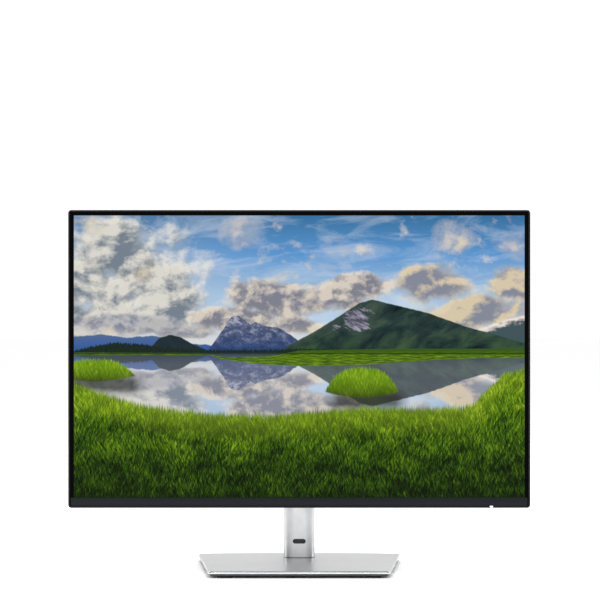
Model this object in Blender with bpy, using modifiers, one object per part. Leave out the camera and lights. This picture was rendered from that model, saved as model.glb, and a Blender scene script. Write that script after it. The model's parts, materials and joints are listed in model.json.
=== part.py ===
"""A desktop computer monitor on a height-adjustable stand, built as separate pieces.

Frame: the origin is the centre of the base's footprint on the desk, +X to the viewer's right,
+Y away from the viewer, +Z up. The head stands at the height, tilt, turn and swivel that the
record calls rest. Lengths are metres; MM turns a millimetre figure into metres.
"""

from math import cos, pi, radians, sin

import bmesh
import bpy
from mathutils import Matrix, Vector

MM = 0.001
GAP = 0.3 * MM  # left between pieces that touch

# ---------------------------------------------------------------- driving dimensions
HEAD_WIDTH = 531.2 * MM
HEAD_HEIGHT = 342.4 * MM
HEAD_BOTTOM = 76.0 * MM
HEAD_FRONT_Y = -49.5 * MM
HEAD_CORNER = 3.5 * MM
RIM_WALL = 2.0 * MM
RIM_DEPTH = 12.5 * MM
CHIN_HEIGHT = 9.6 * MM
PANEL_BOTTOM = HEAD_BOTTOM + 6.0 * MM

BULGE_BACK_Y = -3.5 * MM
BULGE_HALF_WIDTH = 152.0 * MM
BULGE_BOTTOM = 130.0 * MM
BULGE_TOP = 322.0 * MM
COVER_WALL = 2.0 * MM
RECESS_SIZE = 124.0 * MM
RECESS_FLOOR_Y = -13.5 * MM
HOLE_SPACING = 100.0 * MM  # square pattern of the four mounting screws
VENT_SLOTS = 26
VENT_PITCH = 10.0  # millimetres, like the width below
VENT_WIDTH = 3.0

BASE_FRONT_Y = -89.5 * MM
BASE_SIDE_BACK_Y = 80.5 * MM
BASE_BACK_Y = 89.5 * MM
BASE_FRONT_HALF = 103.9 * MM
BASE_BACK_HALF = 121.9 * MM
BASE_CORNER = 4.0 * MM
BASE_TOP = 8.0 * MM
COVER_BOTTOM = 5.0 * MM
FOOT_HEIGHT = 2.0 * MM

RISER_HALF_WIDTH = 18.5 * MM
RISER_FRONT_Y = 36.5 * MM
RISER_BACK_Y = 74.5 * MM
RISER_SEAM_Y = 52.0 * MM
RISER_TOP = 352.0 * MM
RISER_WALL = 2.0 * MM
SLOT_HALF_WIDTH = 9.0 * MM
SLOT_BOTTOM = 130.0 * MM

SWIVEL_AXIS = Vector((0, 55.5 * MM, 0))
HINGE_Z = 250.1 * MM
TILT_AXIS = Vector((0, 12.0 * MM, HINGE_Z))
PIVOT_AXIS = Vector((0, -11.0 * MM, HINGE_Z))
DRUM_AXIS = Vector((0, 58.0 * MM, 181.0 * MM))
DRUM_RADIUS = 8.2 * MM

BUTTON_SPACING = 12.0 * MM
POWER_BUTTON_X = 221.0 * MM
BUTTON_Y = -43.5 * MM
MENU_BUTTONS = 4

HEAD_TOP = HEAD_BOTTOM + HEAD_HEIGHT
HEAD_Z = HEAD_BOTTOM + HEAD_HEIGHT / 2
HEAD_HALF = HEAD_WIDTH / 2

# ---------------------------------------------------------------- scene, collections, materials
for left_over in list(bpy.data.objects):
    bpy.data.objects.remove(left_over, do_unlink=True)

monitor = bpy.data.collections.new("computer_monitor")
cutters = bpy.data.collections.new("cutters")
bpy.context.scene.collection.children.link(monitor)
bpy.context.scene.collection.children.link(cutters)


def material(name, color, roughness, metallic=0.0):
    made = bpy.data.materials.new(name)
    made.use_nodes = True
    shader = made.node_tree.nodes["Principled BSDF"]
    shader.inputs["Base Color"].default_value = (*color, 1)
    shader.inputs["Roughness"].default_value = roughness
    shader.inputs["Metallic"].default_value = metallic
    return made


black_plastic = material("black_plastic", (0.016, 0.016, 0.018), 0.5)
chin_plastic = material("chin_plastic", (0.022, 0.023, 0.026), 0.4)
screen_glass = material("screen_glass", (0.05, 0.08, 0.12), 0.25)
white_sheet = material("white_sheet", (0.85, 0.85, 0.85), 0.5)
clear_acrylic = material("clear_acrylic", (0.9, 0.93, 0.95), 0.1)
steel = material("steel", (0.55, 0.56, 0.58), 0.35, 1.0)
silver = material("silver", (0.6, 0.6, 0.61), 0.3, 1.0)
green_board = material("green_board", (0.02, 0.16, 0.07), 0.5)
dark_board = material("dark_board", (0.02, 0.03, 0.05), 0.5)
nylon = material("nylon", (0.7, 0.68, 0.62), 0.5)
rubber = material("rubber", (0.02, 0.02, 0.02), 0.9)
cable_black = material("cable_black", (0.015, 0.015, 0.015), 0.6)

# ---------------------------------------------------------------- joints, as empties on their axes
PLACE = {None: Vector((0, 0, 0))}


def joint_axis(name, at, parent=None):
    """An empty on a joint's axis; the pieces that the joint moves are its children."""
    empty = bpy.data.objects.new(name, None)
    empty.empty_display_size = 0.02
    empty.parent = parent
    empty.location = at - PLACE[parent]
    monitor.objects.link(empty)
    PLACE[empty] = at.copy()
    return empty


swivel = joint_axis("swivel_axis", SWIVEL_AXIS)
mast_slide = joint_axis("mast_slide_axis", SWIVEL_AXIS, swivel)
lift = joint_axis("lift_axis", SWIVEL_AXIS, mast_slide)
drum_turn = joint_axis("drum_axis", DRUM_AXIS, lift)
tilt = joint_axis("tilt_axis", TILT_AXIS, lift)
pivot = joint_axis("pivot_axis", PIVOT_AXIS, tilt)

# ---------------------------------------------------------------- modelling helpers
FACING = {  # how a flat outline stands: its own x and y become these world axes
    "up": (0, 0, 0),  # x to X, y to Y, thickness along Z
    "front": (pi / 2, 0, 0),  # x to X, y to Z, thickness along Y
    "side": (pi / 2, 0, pi / 2),  # x to Y, y to Z, thickness along X
}


def add(name, mesh, look, at, facing="up", parent=None, collection=monitor):
    """Places a mesh in the world as a named object."""
    made = bpy.data.objects.new(name, mesh)
    if look:
        mesh.materials.append(look)
    made.parent = parent
    made.location = Vector(at) - PLACE[parent]
    made.rotation_euler = FACING[facing]
    collection.objects.link(made)
    if collection is cutters:
        made.hide_render = True
        made.display_type = "WIRE"
    return made


def box_mesh(size):
    made = bmesh.new()
    bmesh.ops.create_cube(made, size=1, matrix=Matrix.Diagonal((*size, 1)))
    mesh = bpy.data.meshes.new("box")
    made.to_mesh(mesh)
    made.free()
    return mesh


def block(name, low, high, look=None, parent=None, collection=monitor):
    """A box between two corners, given in millimetres."""
    low, high = Vector(low) * MM, Vector(high) * MM
    return add(name, box_mesh(high - low), look, (low + high) / 2, "up", parent, collection)


def arc(x, y, radius, start, end, steps):
    """Points on an arc; the angles are degrees."""
    turn = [radians(start + (end - start) * i / steps) for i in range(steps + 1)]
    return [(x + radius * cos(a), y + radius * sin(a)) for a in turn]


def rounded_rectangle(width, height, radius, steps=3, y=0.0):
    """Counter-clockwise points of a rectangle with round corners, centred on (0, y)."""
    right, top = width / 2 - radius, height / 2 - radius
    corners = ((right, top, 0), (-right, top, 90), (-right, -top, 180), (right, -top, 270))
    points = []
    for cx, cy, start in corners:
        points += arc(cx, cy + y, radius, start, start + 90, steps)
    return points


def circle(x, y, radius, steps=16):
    return arc(x, y, radius, 0, 360, steps)[:-1]


def outline_mesh(outlines, thickness):
    """A flat filled outline, with holes where outlines lie inside others, as a closed mesh."""
    curve = bpy.data.curves.new("outline", "CURVE")
    curve.dimensions = "2D"
    curve.fill_mode = "BOTH"
    curve.extrude = thickness / 2
    for points in outlines:
        spline = curve.splines.new("POLY")
        spline.points.add(len(points) - 1)
        for point, (x, y) in zip(spline.points, points):
            point.co = (x, y, 0, 1)
        spline.use_cyclic_u = True
    return curve_mesh(curve)


def curve_mesh(curve):
    """The mesh of a curve, with its loose caps welded."""
    holder = bpy.data.objects.new("outline", curve)
    bpy.context.scene.collection.objects.link(holder)
    evaluated = holder.evaluated_get(bpy.context.evaluated_depsgraph_get())
    mesh = bpy.data.meshes.new_from_object(evaluated)
    bpy.data.objects.remove(holder)
    welded = bmesh.new()
    welded.from_mesh(mesh)
    bmesh.ops.remove_doubles(welded, verts=welded.verts, dist=1e-6)
    bmesh.ops.recalc_face_normals(welded, faces=welded.faces)
    welded.to_mesh(mesh)
    welded.free()
    return mesh


def plate(name, outlines, thickness, at, facing, look=None, parent=None, collection=monitor):
    """A flat piece cut to an outline; at is the middle of its thickness."""
    return add(name, outline_mesh(outlines, thickness), look, at, facing, parent, collection)


def turned(name, profile, at, facing="up", look=None, parent=None, steps=24, closed=False,
           collection=monitor):
    """A profile of (radius, height) points in millimetres, top to bottom, turned full circle."""
    made = bmesh.new()
    corners = [made.verts.new((r * MM, 0, h * MM)) for r, h in profile]
    for a, b in zip(corners, corners[1:]):
        made.edges.new((a, b))
    if closed:
        made.edges.new((corners[-1], corners[0]))
    mesh = bpy.data.meshes.new(name)
    made.to_mesh(mesh)
    made.free()
    piece = add(name, mesh, look, at, facing, parent, collection)
    screw = piece.modifiers.new("turn", "SCREW")
    screw.steps = steps
    screw.render_steps = steps
    screw.use_merge_vertices = True
    screw.merge_threshold = 1e-5
    screw.use_smooth_shade = True
    return piece


def rod(radius, high, low, chamfer=0.0):
    """The profile of a solid round bar, for turned()."""
    c = chamfer
    if not c:
        return [(0, high), (radius, high), (radius, low), (0, low)]
    return [(0, high), (radius - c, high), (radius, high - c), (radius, low + c),
            (radius - c, low), (0, low)]


def ring(outer, inner, high, low):
    """The profile of a washer or bush, for turned() with closed=True."""
    return [(outer, high), (outer, low), (inner, low), (inner, high)]


def round_edges(piece, width, segments=2, angle=35):
    bevel = piece.modifiers.new("round_edges", "BEVEL")
    bevel.width = width
    bevel.segments = segments
    bevel.limit_method = "ANGLE"
    bevel.angle_limit = radians(angle)
    bevel.use_clamp_overlap = True
    return piece


def boolean(piece, tool, operation):
    made = piece.modifiers.new(operation.lower(), "BOOLEAN")
    made.operation = operation
    made.object = tool
    made.solver = "EXACT"


def cut_box(piece, name, low, high):
    boolean(piece, block(name, low, high, collection=cutters), "DIFFERENCE")


def cut_rod(piece, name, radius, high, low, at, facing, steps=24):
    tool = turned(name, rod(radius, high, low), at, facing, steps=steps, collection=cutters)
    boolean(piece, tool, "DIFFERENCE")


def join_box(piece, name, low, high):
    boolean(piece, block(name, low, high, collection=cutters), "UNION")


def join_rod(piece, name, radius, high, low, at, facing, steps=24):
    tool = turned(name, rod(radius, high, low), at, facing, steps=steps, collection=cutters)
    boolean(piece, tool, "UNION")


def many_boxes(name, boxes):
    """One cutter made of separate boxes, each given by two corners in millimetres."""
    made = bmesh.new()
    for low, high in boxes:
        low, high = Vector(low) * MM, Vector(high) * MM
        place = Matrix.Translation((low + high) / 2) @ Matrix.Diagonal((*(high - low), 1))
        bmesh.ops.create_cube(made, size=1, matrix=place)
    mesh = bpy.data.meshes.new(name)
    made.to_mesh(mesh)
    made.free()
    return add(name, mesh, None, (0, 0, 0), collection=cutters)


def wire(name, points, radius, look, parent, sides=2, at=(0, 0, 0)):
    """A round wire through points, in millimetres from at."""
    curve = bpy.data.curves.new(name, "CURVE")
    curve.dimensions = "3D"
    curve.bevel_depth = radius
    curve.bevel_resolution = sides
    curve.use_fill_caps = True
    spline = curve.splines.new("POLY")
    spline.points.add(len(points) - 1)
    for point, place in zip(spline.points, points):
        point.co = (*(Vector(place) * MM), 1)
    return add(name, curve_mesh(curve), look, at, "up", parent)


# ---------------------------------------------------------------- base
def base_outline(inset=0.0):
    """The base seen from above: a trapezium with round corners and a bowed back edge."""
    slope = (BASE_BACK_HALF - BASE_FRONT_HALF) / (BASE_SIDE_BACK_Y - BASE_FRONT_Y)
    front, corner = BASE_FRONT_Y + inset, BASE_CORNER
    front_half = BASE_FRONT_HALF + slope * inset - inset
    back_half = BASE_BACK_HALF - inset
    side_back = BASE_SIDE_BACK_Y - inset
    points = arc(front_half - corner, front + corner, corner, -90, 6, 4)
    points += arc(back_half - corner, side_back - corner, corner, 6, 84, 4)
    bow = BASE_BACK_Y - BASE_SIDE_BACK_Y
    for i in range(1, 12):
        t = 1 - i / 6
        points.append((t * (back_half - corner), side_back + bow * (1 - t * t)))
    points += arc(corner - back_half, side_back - corner, corner, 96, 174, 4)
    points += arc(corner - front_half, front + corner, corner, 174, 270, 4)
    return points


def build_base():
    cover_height = BASE_TOP - COVER_BOTTOM
    flange_hole = circle(0, SWIVEL_AXIS.y, 15.4 * MM, 32)
    cover = plate("base_cover", [base_outline(), flange_hole], cover_height,
                  (0, 0, COVER_BOTTOM + cover_height / 2), "up", silver)
    round_edges(cover, 0.6 * MM, 2, 60)
    plate_height = COVER_BOTTOM - FOOT_HEIGHT - 2 * GAP
    shaft_hole = circle(0, SWIVEL_AXIS.y, 6.0 * MM, 24)
    plate("base_plate", [base_outline(3.0 * MM), shaft_hole], plate_height,
          (0, 0, FOOT_HEIGHT + GAP + plate_height / 2), "up", black_plastic)
    feet = {"foot_front_left": (-84, -80), "foot_front_middle": (0, -80),
            "foot_front_right": (84, -80), "foot_rear_left": (-104, 70), "foot_rear_right": (104, 70)}
    for name, (x, y) in feet.items():
        foot = plate(name, [rounded_rectangle(18 * MM, 9 * MM, 4 * MM, 4)], FOOT_HEIGHT,
                     (x * MM, y * MM, FOOT_HEIGHT / 2), "up", rubber)
        round_edges(foot, 0.4 * MM, 1, 60)


# ---------------------------------------------------------------- swivel and riser
def build_swivel():
    turned("swivel_washer", ring(14.6, 6.3, 5.3, 5.0), SWIVEL_AXIS, "up", nylon, None, 32, True)
    turned("swivel_shaft",
           [(0, 8.3), (15.0, 8.3), (15.0, 5.6), (5.6, 5.6), (5.6, 0.5), (0, 0.5)],
           SWIVEL_AXIS, "up", steel, swivel, 32)
    turned("swivel_clip", ring(9.0, 5.9, 1.9, 0.7), SWIVEL_AXIS, "up", steel, swivel, 24, True)


def riser_section(front):
    """Half of the riser's walls seen from above; front is the half that faces the viewer."""
    half, wall = RISER_HALF_WIDTH, RISER_WALL
    if front:
        bow = [(half * cos(radians(a)), RISER_FRONT_Y + 5.0 * MM * (1 - sin(radians(a))))
               for a in range(0, 181, 15)]
        outer = [(half, RISER_SEAM_Y), *bow, (-half, RISER_SEAM_Y)]
        inner = [(x * (half - wall) / half, y + wall) for x, y in bow]
        return outer + [(wall - half, RISER_SEAM_Y), *inner[::-1], (half - wall, RISER_SEAM_Y)]
    corner, seam = 5.0 * MM, RISER_SEAM_Y + GAP
    outer = [(-half, seam)]
    outer += arc(corner - half, RISER_BACK_Y - corner, corner, 180, 90, 4)
    outer += arc(half - corner, RISER_BACK_Y - corner, corner, 90, 0, 4)
    outer.append((half, seam))
    inner = [(half - wall, seam)]
    inner += arc(half - corner, RISER_BACK_Y - corner, corner - wall, 0, 90, 4)
    inner += arc(corner - half, RISER_BACK_Y - corner, corner - wall, 90, 180, 4)
    inner.append((wall - half, seam))
    return outer + inner


def channel(half, front, back, wall):
    """A U section open at the front, seen from above."""
    return [(half, front), (half, back), (-half, back), (-half, front), (wall - half, front),
            (wall - half, back - wall), (half - wall, back - wall), (half - wall, front)]


def upright(name, section, low, high, look, parent):
    """A section seen from above, standing between two heights."""
    return plate(name, [section], high - low, (0, 0, (low + high) / 2), "up", look, parent)


def build_riser():
    foot_top = BASE_TOP + 2 * GAP
    front = upright("riser_front_shell", riser_section(True), foot_top, RISER_TOP, silver, swivel)
    slot = SLOT_HALF_WIDTH / MM
    cut_box(front, "slot_cutter", (-slot, 30, SLOT_BOTTOM / MM), (slot, 50, 400))
    upright("riser_rear_shell", riser_section(False), foot_top, RISER_TOP, silver, swivel)
    core = upright("riser_core", channel(15.5 * MM, 47 * MM, 71 * MM, 1.4 * MM), foot_top,
                   RISER_TOP - 4 * MM, steel, swivel)
    join_box(core, "core_floor", (-15, 44, 8.6), (15, 70.5, 12))
    for side, name in ((-1, "mast_guide_left"), (1, "mast_guide_right")):
        edges = sorted((side * 13.2, side * 13.7))
        block(name, (edges[0], 49, 290), (edges[1], 68, 346), nylon, swivel)
    cap_outline = rounded_rectangle(36.4 * MM, 36 * MM, 6 * MM, 4, 56 * MM)
    cap = plate("riser_cap", [cap_outline], 3 * MM, (0, 0, RISER_TOP + GAP + 1.5 * MM), "up",
                black_plastic, swivel)
    cut_box(cap, "cap_mast_window", (-13.4, 46, 340), (13.4, 70, 380))
    cut_box(cap, "cap_slot", (-slot, 20, 340), (slot, 50, 380))
    badge = plate("riser_badge", [rounded_rectangle(15.6 * MM, 5.5 * MM, 2.7 * MM, 5)], 0.6 * MM,
                  (0, RISER_FRONT_Y - 0.6 * MM, 27.8 * MM), "front", black_plastic, swivel)
    round_edges(badge, 0.15 * MM, 1, 60)
    build_cable_clip()


def build_cable_clip():
    """A springy loop behind the riser, open at its back, that keeps cables together."""
    middle, depth, wall = RISER_BACK_Y + 7.7 * MM, 13.4 * MM, 1.8 * MM
    outer = rounded_rectangle(30 * MM, depth, 6 * MM, 4, middle)
    inner = rounded_rectangle(30 * MM - 2 * wall, depth - 2 * wall, 4.4 * MM, 4, middle)
    clip = plate("cable_clip", [outer, inner], 16 * MM, (0, 0, 110 * MM), "up", black_plastic,
                 swivel)
    cut_box(clip, "clip_opening", (-4, 84, 90), (4, 95, 130))
    join_box(clip, "clip_pad", (-9, 74.8, 102), (9, 76.4, 118))


# ---------------------------------------------------------------- mast, carriage and lift spring
def build_mast():
    mast = upright("mast_rail", channel(12.9 * MM, 48.5 * MM, 69.2 * MM, 1.5 * MM), 22 * MM,
                   348 * MM, steel, mast_slide)
    join_box(mast, "band_anchor", (-6.5, 67.1, 340), (6.5, 68.2, 346))
    block("spring_band", (-6, 66.5, 181), (6, 66.8, 346), steel, mast_slide)


def build_carriage():
    slider = block("lift_carriage", (-9.6, 46, 192), (9.6, 66.1, 262), steel, lift)
    join_box(slider, "neck", (-7, 18, 206), (7, 48, 262))
    join_box(slider, "drum_ears", (-9.6, 50, 172), (9.6, 65.6, 193))
    join_rod(slider, "hinge_barrel", 9.0, 12.4, -12.4, TILT_AXIS, "side")
    join_box(slider, "barrel_web", (-12, 11, 242), (12, 24, 258.5))
    cut_box(slider, "spring_room", (-7.4, 2, 238), (7.4, 22.5, 262.5))
    cut_box(slider, "drum_room", (-7.6, 45, 170), (7.6, 67, 191))
    cut_rod(slider, "hinge_bore", 4.4, 20, -20, TILT_AXIS, "side")
    cut_rod(slider, "drum_bore", 1.8, 12, -12, DRUM_AXIS, "side", 16)
    for side, name in ((-1, "carriage_shoe_left"), (1, "carriage_shoe_right")):
        edges = sorted((side * 9.9, side * 11.1))
        shoe = block(name, (edges[0], 50, 194), (edges[1], 65, 260), nylon, lift)
        round_edges(shoe, 0.4 * MM, 1)
    drum_profile = [(0, 9.3), (1.5, 9.3), (1.5, 6.0), (DRUM_RADIUS / MM, 6.0)]
    drum_profile += [(radius, -along) for radius, along in drum_profile[::-1]]
    turned("spring_drum", drum_profile, DRUM_AXIS, "side", steel, drum_turn, 24)


def build_tilt_spring():
    """The coil on the tilt pin that carries part of the head's weight."""
    turns, steps, radius, wire_radius, pitch = 5, 14, 6.4, 1.0, 2.35
    points = [(pitch * (i / steps - turns / 2),
               radius * cos(2 * pi * i / steps), radius * sin(2 * pi * i / steps))
              for i in range(turns * steps + 1)]
    wire("tilt_spring", points, wire_radius * MM, steel, lift, 2, TILT_AXIS)


# ---------------------------------------------------------------- tilt yoke and pivot
def mounting_holes():
    """The centres of the four mounting holes, bottom to top and left to right."""
    half = HOLE_SPACING / 2
    return [Vector((x, 0, HINGE_Z + z)) for x in (-half, half) for z in (-half, half)]


def build_tilt_head():
    yoke = plate("tilt_yoke", [rounded_rectangle(70 * MM, 62 * MM, 6 * MM, 4)], 3 * MM,
                 (0, -6.4 * MM, HINGE_Z), "front", steel, tilt)
    for side, name in ((-1, "left"), (1, "right")):
        edges = sorted((side * 13.0, side * 17.0))
        join_box(yoke, f"yoke_arm_{name}", (edges[0], -6, 242), (edges[1], 12, 258.2))
        join_rod(yoke, f"yoke_eye_{name}", 8.1, side * 15 + 2, side * 15 - 2, TILT_AXIS, "side")
    cut_rod(yoke, "yoke_bore", 6.4, 12, -12, (0, -6.4 * MM, HINGE_Z), "front")
    cut_rod(yoke, "yoke_pin_bore", 4.4, 20, -20, TILT_AXIS, "side")
    turned("tilt_pin", [(0, 19.5), (6.5, 19.5), (6.5, 17.4), (4.0, 17.4), (4.0, -17.4),
                        (6.5, -17.4), (6.5, -19.5), (0, -19.5)], TILT_AXIS, "side", steel, tilt)
    cover = block("hinge_cover", (-24, -4.5, 224), (24, 21, 284), black_plastic, tilt)
    round_edges(cover, 4 * MM, 3)
    cut_box(cover, "hinge_cover_room", (-22.2, -6, 200), (22.2, 30, 282))


def build_pivot():
    turned("pivot_shaft", [(0, 10.3), (20, 10.3), (20, 8.9), (6.0, 8.9), (6.0, -2.0), (0, -2.0)],
           (0, 0, HINGE_Z), "front", steel, pivot, 28)
    turned("pivot_washer", ring(17.5, 6.3, 8.6, 8.2), (0, 0, HINGE_Z), "front", nylon, tilt,
           28, True)
    nut = plate("pivot_nut", [circle(0, 0, 10 * MM, 6), circle(0, 0, 6.3 * MM, 18)], 4.4 * MM,
                (0, -2.3 * MM, HINGE_Z), "front", steel, tilt)
    round_edges(nut, 0.3 * MM, 1, 50)
    adapter = plate("mount_plate", [rounded_rectangle(118 * MM, 118 * MM, 8 * MM, 4)], 2.5 * MM,
                    (0, RECESS_FLOOR_Y + GAP + 1.25 * MM, HINGE_Z), "front", steel, pivot)
    screw_profile = [(0, 20), (1.6, 20), (1.6, 10.4), (3.9, 10.4), (3.6, 8.6), (2.6, 8.0), (0, 8.0)]
    for number, middle in enumerate(mounting_holes(), 1):
        cut_rod(adapter, f"plate_hole_{number}", 2.4, 16, 8, middle, "front", 16)
        screw = turned(f"mount_screw_{number}", screw_profile, middle, "front", steel, pivot, 16)
        x, z = middle.x / MM, middle.z / MM
        for arm, (wide, tall) in (("a", (2, 0.4)), ("b", (0.4, 2))):
            cut_box(screw, f"drive_{arm}_{number}", (x - wide, -9.2, z - tall),
                    (x + wide, -6, z + tall))


# ---------------------------------------------------------------- head: frame and panel
def head_plate(name, width, low, high, front, back, look, radius=1.0 * MM, steps=1):
    """A flat sheet in the head, between two heights and two depths, in millimetres."""
    height = (high - low) * MM
    return plate(name, [rounded_rectangle(width, height, radius, steps)], (back - front) * MM,
                 (0, (front + back) / 2 * MM, (low + high) / 2 * MM), "front", look, pivot)


def build_front_frame():
    inner = [rounded_rectangle(HEAD_WIDTH - 2 * RIM_WALL, HEAD_HEIGHT - 2 * RIM_WALL,
                               HEAD_CORNER - RIM_WALL, 3)]
    outer = [rounded_rectangle(HEAD_WIDTH, HEAD_HEIGHT, HEAD_CORNER, 4)]
    frame = plate("front_frame", outer + inner, RIM_DEPTH,
                  (0, HEAD_FRONT_Y + RIM_DEPTH / 2, HEAD_Z), "front", black_plastic, pivot)
    x, y = POWER_BUTTON_X / MM, BUTTON_Y / MM
    holes = []
    for i in range(MENU_BUTTONS + 1):
        middle = x - i * BUTTON_SPACING / MM
        holes.append(((middle - 4.4, y - 2.9, 70), (middle + 4.4, y + 2.9, 79)))
    holes.append(((x - 1.9, -52, 76.5), (x + 1.9, -47, 79)))
    boolean(frame, many_boxes("frame_holes", holes), "DIFFERENCE")
    chin_low = HEAD_BOTTOM / MM + 2.3
    head_plate("chin_trim", 525.2 * MM, chin_low, chin_low + CHIN_HEIGHT / MM, -49.3, -48.5,
               chin_plastic)


def build_buttons():
    names = ["power_button"] + [f"menu_button_{i + 1}" for i in range(MENU_BUTTONS)]
    x, y = POWER_BUTTON_X / MM, BUTTON_Y / MM
    for i, name in enumerate(names):
        middle = x - i * BUTTON_SPACING / MM
        travel = joint_axis(f"{name}_axis", Vector((middle, y, 78)) * MM, pivot)
        button = block(name, (middle - 4, y - 2.5, 75.7), (middle + 4, y + 2.5, 80.0),
                       black_plastic, travel)
        round_edges(button, 0.4 * MM, 2)
    block("button_board", (x - 58, -47.0, 81.0), (x + 12, -38.5, 81.7), green_board, pivot)
    block("led_light_pipe", (x - 1.6, -49.4, 76.8), (x + 1.6, -47.3, 78.0), clear_acrylic, pivot)


def build_panel():
    low, high = PANEL_BOTTOM / MM, HEAD_TOP / MM - 2.3
    width = 526.6 * MM
    head_plate("lcd_panel", width, low, high, -48.2, -46.6, screen_glass)
    ring_height = (high - low) * MM
    plate("panel_frame", [rounded_rectangle(width, ring_height, 1.5 * MM, 2),
                          rounded_rectangle(518.4 * MM, ring_height - 6 * MM, 1.0 * MM, 2)],
          4.8 * MM, (0, -43.9 * MM, (low + high) / 2 * MM), "front", black_plastic, pivot)
    head_plate("optical_films", 517.0 * MM, low + 9.4, high - 3.6, -46.3, -45.5, white_sheet)
    head_plate("light_guide", 517.0 * MM, low + 9.4, high - 3.6, -45.2, -41.6, clear_acrylic)
    head_plate("led_bar", 514.0 * MM, low + 3.6, low + 9.0, -45.2, -42.0, white_sheet)
    tray = head_plate("panel_tray", width, low, high, -41.2, -40.2, steel)
    for middle, side in ((-190, "left"), (190, "right")):
        join_box(tray, f"tray_rib_{side}", (middle - 10, -40.4, 120), (middle + 10, -38.4, 380))
    timing = block("timing_board", (-110, -39.9, 92), (110, -38.6, 112), green_board, pivot)
    for i in range(3):
        x = -80 + 70 * i
        join_box(timing, f"timing_chip_{i}", (x, -38.9, 96), (x + 12, -37.2, 108))


# ---------------------------------------------------------------- head: chassis and electronics
def build_chassis():
    chassis = block("chassis_plate", (-140, -39.9, 136), (140, -38.9, 316), steel, pivot)
    for number, middle in enumerate(mounting_holes(), 1):
        join_rod(chassis, f"standoff_{number}", 4.2, 39.4, 15.9, middle, "front", 16)
        cut_rod(chassis, f"standoff_bore_{number}", 2.0, 24, 14, middle, "front", 16)
    vent_rows = [((x, -42, 222), (x + 30, -36, 228)) for x in (-30, 10)]
    boolean(chassis, many_boxes("chassis_slots", vent_rows), "DIFFERENCE")


def build_boards():
    scaler = block("scaler_board", (-125, -37.0, 152), (44, -35.4, 192), green_board, pivot)
    join_box(scaler, "scaler_chip", (-80, -35.6, 168), (-56, -33.4, 190))
    join_box(scaler, "scaler_heat_sink", (-78, -33.6, 170), (-58, -27.0, 188))
    join_box(scaler, "scaler_memory", (-40, -35.6, 172), (-28, -34.2, 186))
    power = block("power_board", (62, -37.0, 176), (132, -35.4, 300), dark_board, pivot)
    join_box(power, "transformer", (78, -35.6, 240), (108, -17.5, 270))
    join_rod(power, "capacitor", 8, 35.6, 17.0, (0.12, 0, 0.216), "front", 16)
    join_box(power, "heat_sink", (68, -35.6, 190), (72, -18.0, 234))
    route = [(-20, -36.2, 194), (-20, -32.5, 196), (-20, -31.5, 210), (-20, -33.0, 224)]
    wire("panel_cable", route, 1.2 * MM, cable_black, pivot)


def build_ports():
    video = block("video_ports", (-95, -31.6, 145.2), (-8, -22.5, 162), steel, pivot)
    sockets = [((-90, -30, 140), (-72, -24.5, 156)), ((-64, -29.5, 140), (-49, -25, 156)),
               ((-41, -30.4, 140), (-13, -24, 154))]
    boolean(video, many_boxes("video_sockets", sockets), "DIFFERENCE")
    usb = block("usb_ports", (4, -31.6, 145.2), (42, -22.5, 162), steel, pivot)
    sockets = [((6.5, -29.8, 140), (20, -24.5, 156)), ((25, -30.4, 140), (39, -24, 156))]
    boolean(usb, many_boxes("usb_sockets", sockets), "DIFFERENCE")
    inlet = block("ac_inlet", (66, -31.6, 145.2), (98, -9.5, 168), black_plastic, pivot)
    cut_box(inlet, "inlet_mouth", (69, -29.6, 140), (95, -12, 162))
    for i, x in enumerate((75, 82, 89)):
        y = -22.0 if i != 1 else -18.5
        join_box(inlet, f"inlet_pin_{i}", (x - 1, y - 2, 148), (x + 1, y + 2, 163))


# ---------------------------------------------------------------- head: rear cover
def ring_points(half_width, low, high, radius, steps=5):
    """A rounded rectangle about the head's middle plane, between two heights."""
    return rounded_rectangle(2 * half_width, high - low, radius, steps, (low + high) / 2)


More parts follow.
